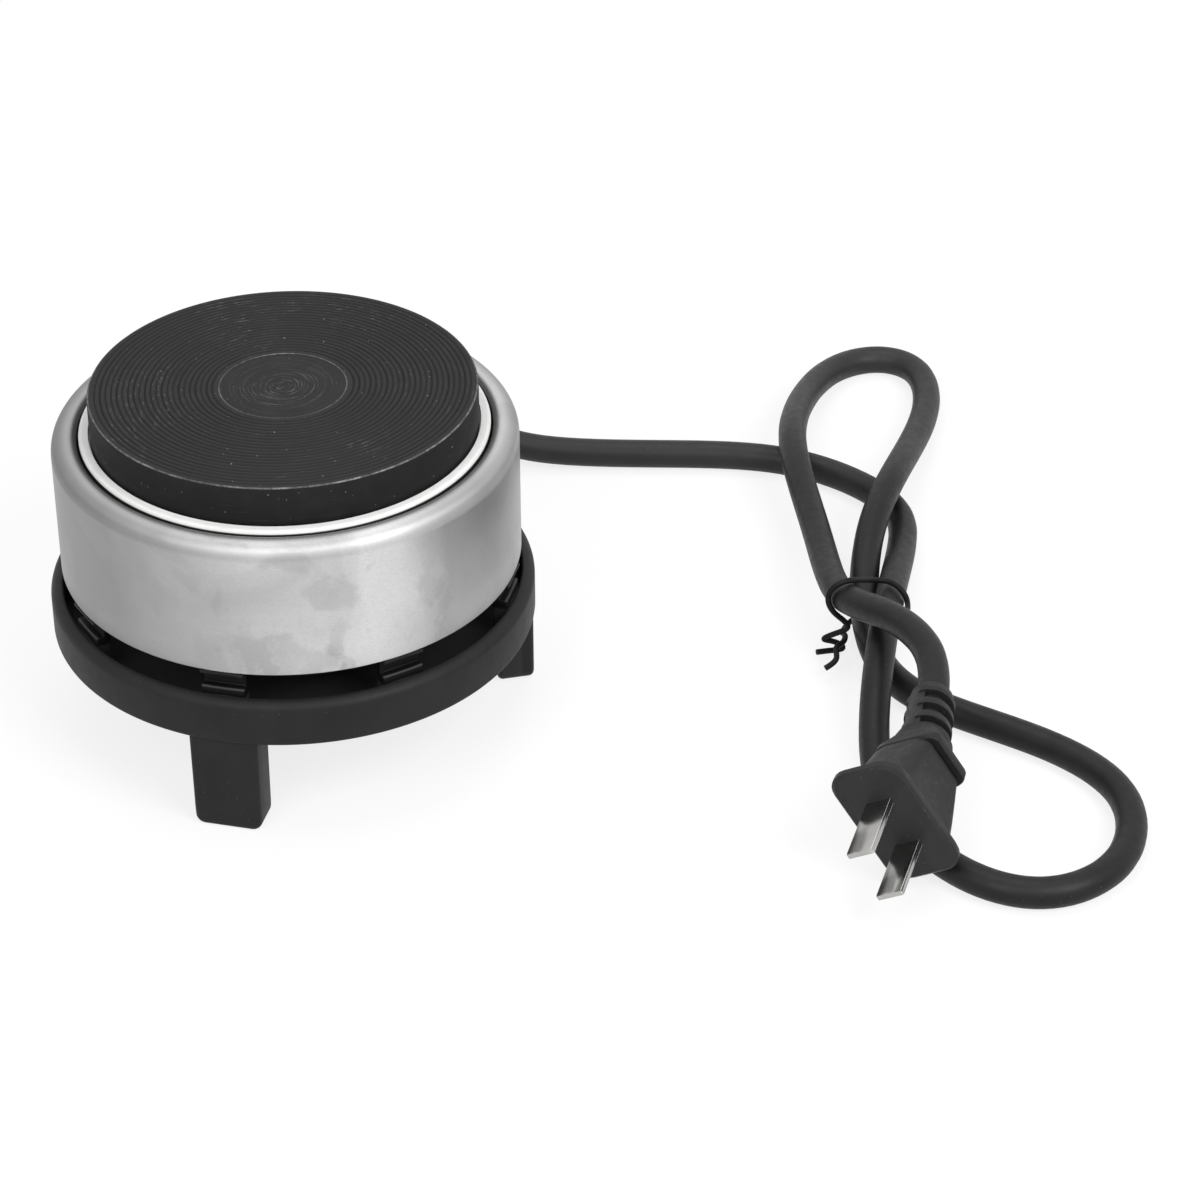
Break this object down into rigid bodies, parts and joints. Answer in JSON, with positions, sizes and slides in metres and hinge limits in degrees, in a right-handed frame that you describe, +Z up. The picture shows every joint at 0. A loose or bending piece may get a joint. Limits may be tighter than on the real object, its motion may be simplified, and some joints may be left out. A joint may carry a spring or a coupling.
{
  "type": "portable hot plate",
  "caption": "Portable electric hot plate: round cast plate with turned grooves in a steel shell on a black footed base, with a tied cord and plug.",
  "frame": {"origin": "on the floor under the centre of the plate, at the soles of the legs", "axes": "+Z up, -Y towards the pictured front, +X towards the side where the cord lies"},
  "size_m": [0.2493, 0.2478, 0.084],
  "materials": {
    "cast_plate": "dark matt cast iron with turned grooves",
    "mica": null,
    "ceramic": null,
    "coil_wire": "oxidised resistance wire",
    "satin_steel": "satin drawn stainless steel",
    "black_phenolic": "matt black moulded phenolic",
    "plated_steel": "zinc plated steel",
    "bimetal": "bimetal strip",
    "brass": "brass",
    "core_insulation": "insulated cores of the cord",
    "lead_sleeve": "glass fibre sleeved wire",
    "black_rubber": "matt black rubber",
    "nickel": "nickel plated brass",
    "tie_coating": "black coated wire"
  },
  "bodies": {
    "body": {"heating_plate": "cast_plate", "mica_sheet": "mica", "ceramic_core": "ceramic", "heating_coil": "coil_wire", "steel_shell": "satin_steel", "base": "black_phenolic", "center_stud": "plated_steel", "clamp_bridge": "plated_steel", "bridge_washer": "plated_steel", "bridge_nut": "plated_steel", "base_washer": "plated_steel", "base_nut": "plated_steel", "thermostat_screw": "plated_steel", "stack_washers": "ceramic", "bimetal_mount": "plated_steel", "fixed_contact": "brass", "leaf_strap": "brass", "terminal_block": "ceramic", "terminal_screws": "brass", "block_screw": "plated_steel", "cord_cores": "core_insulation", "live_lead": "lead_sleeve", "switched_lead": "lead_sleeve", "neutral_lead": "lead_sleeve", "cord_clamp": "black_phenolic", "clamp_screws": "plated_steel", "strain_relief": "black_rubber", "power_cord": "black_rubber", "plug_body": "black_rubber", "plug_blades": "nickel", "wire_tie": "tie_coating"},
    "bimetal": {"bimetal_strip": "bimetal", "push_bead": "ceramic"},
    "leaf": {"contact_leaf": "brass"}
  },
  "joints": [
    {"name": "bimetal_bend", "type": "hinge", "parent": "body", "child": "bimetal", "pos_m": [0.024, -0.0083, 0.0588], "axis": [1, 0, 0], "range_deg": [0, 6], "stiffness_Nm_per_rad": 0.05},
    {"name": "leaf_bend", "type": "hinge", "parent": "body", "child": "leaf", "pos_m": [0.024, -0.0083, 0.0525], "axis": [1, 0, 0], "range_deg": [0, 6], "stiffness_Nm_per_rad": 0.05}
  ],
  "couplings": [
    {"joint": "leaf_bend", "follows": "bimetal_bend", "ratio": 1}
  ]
}
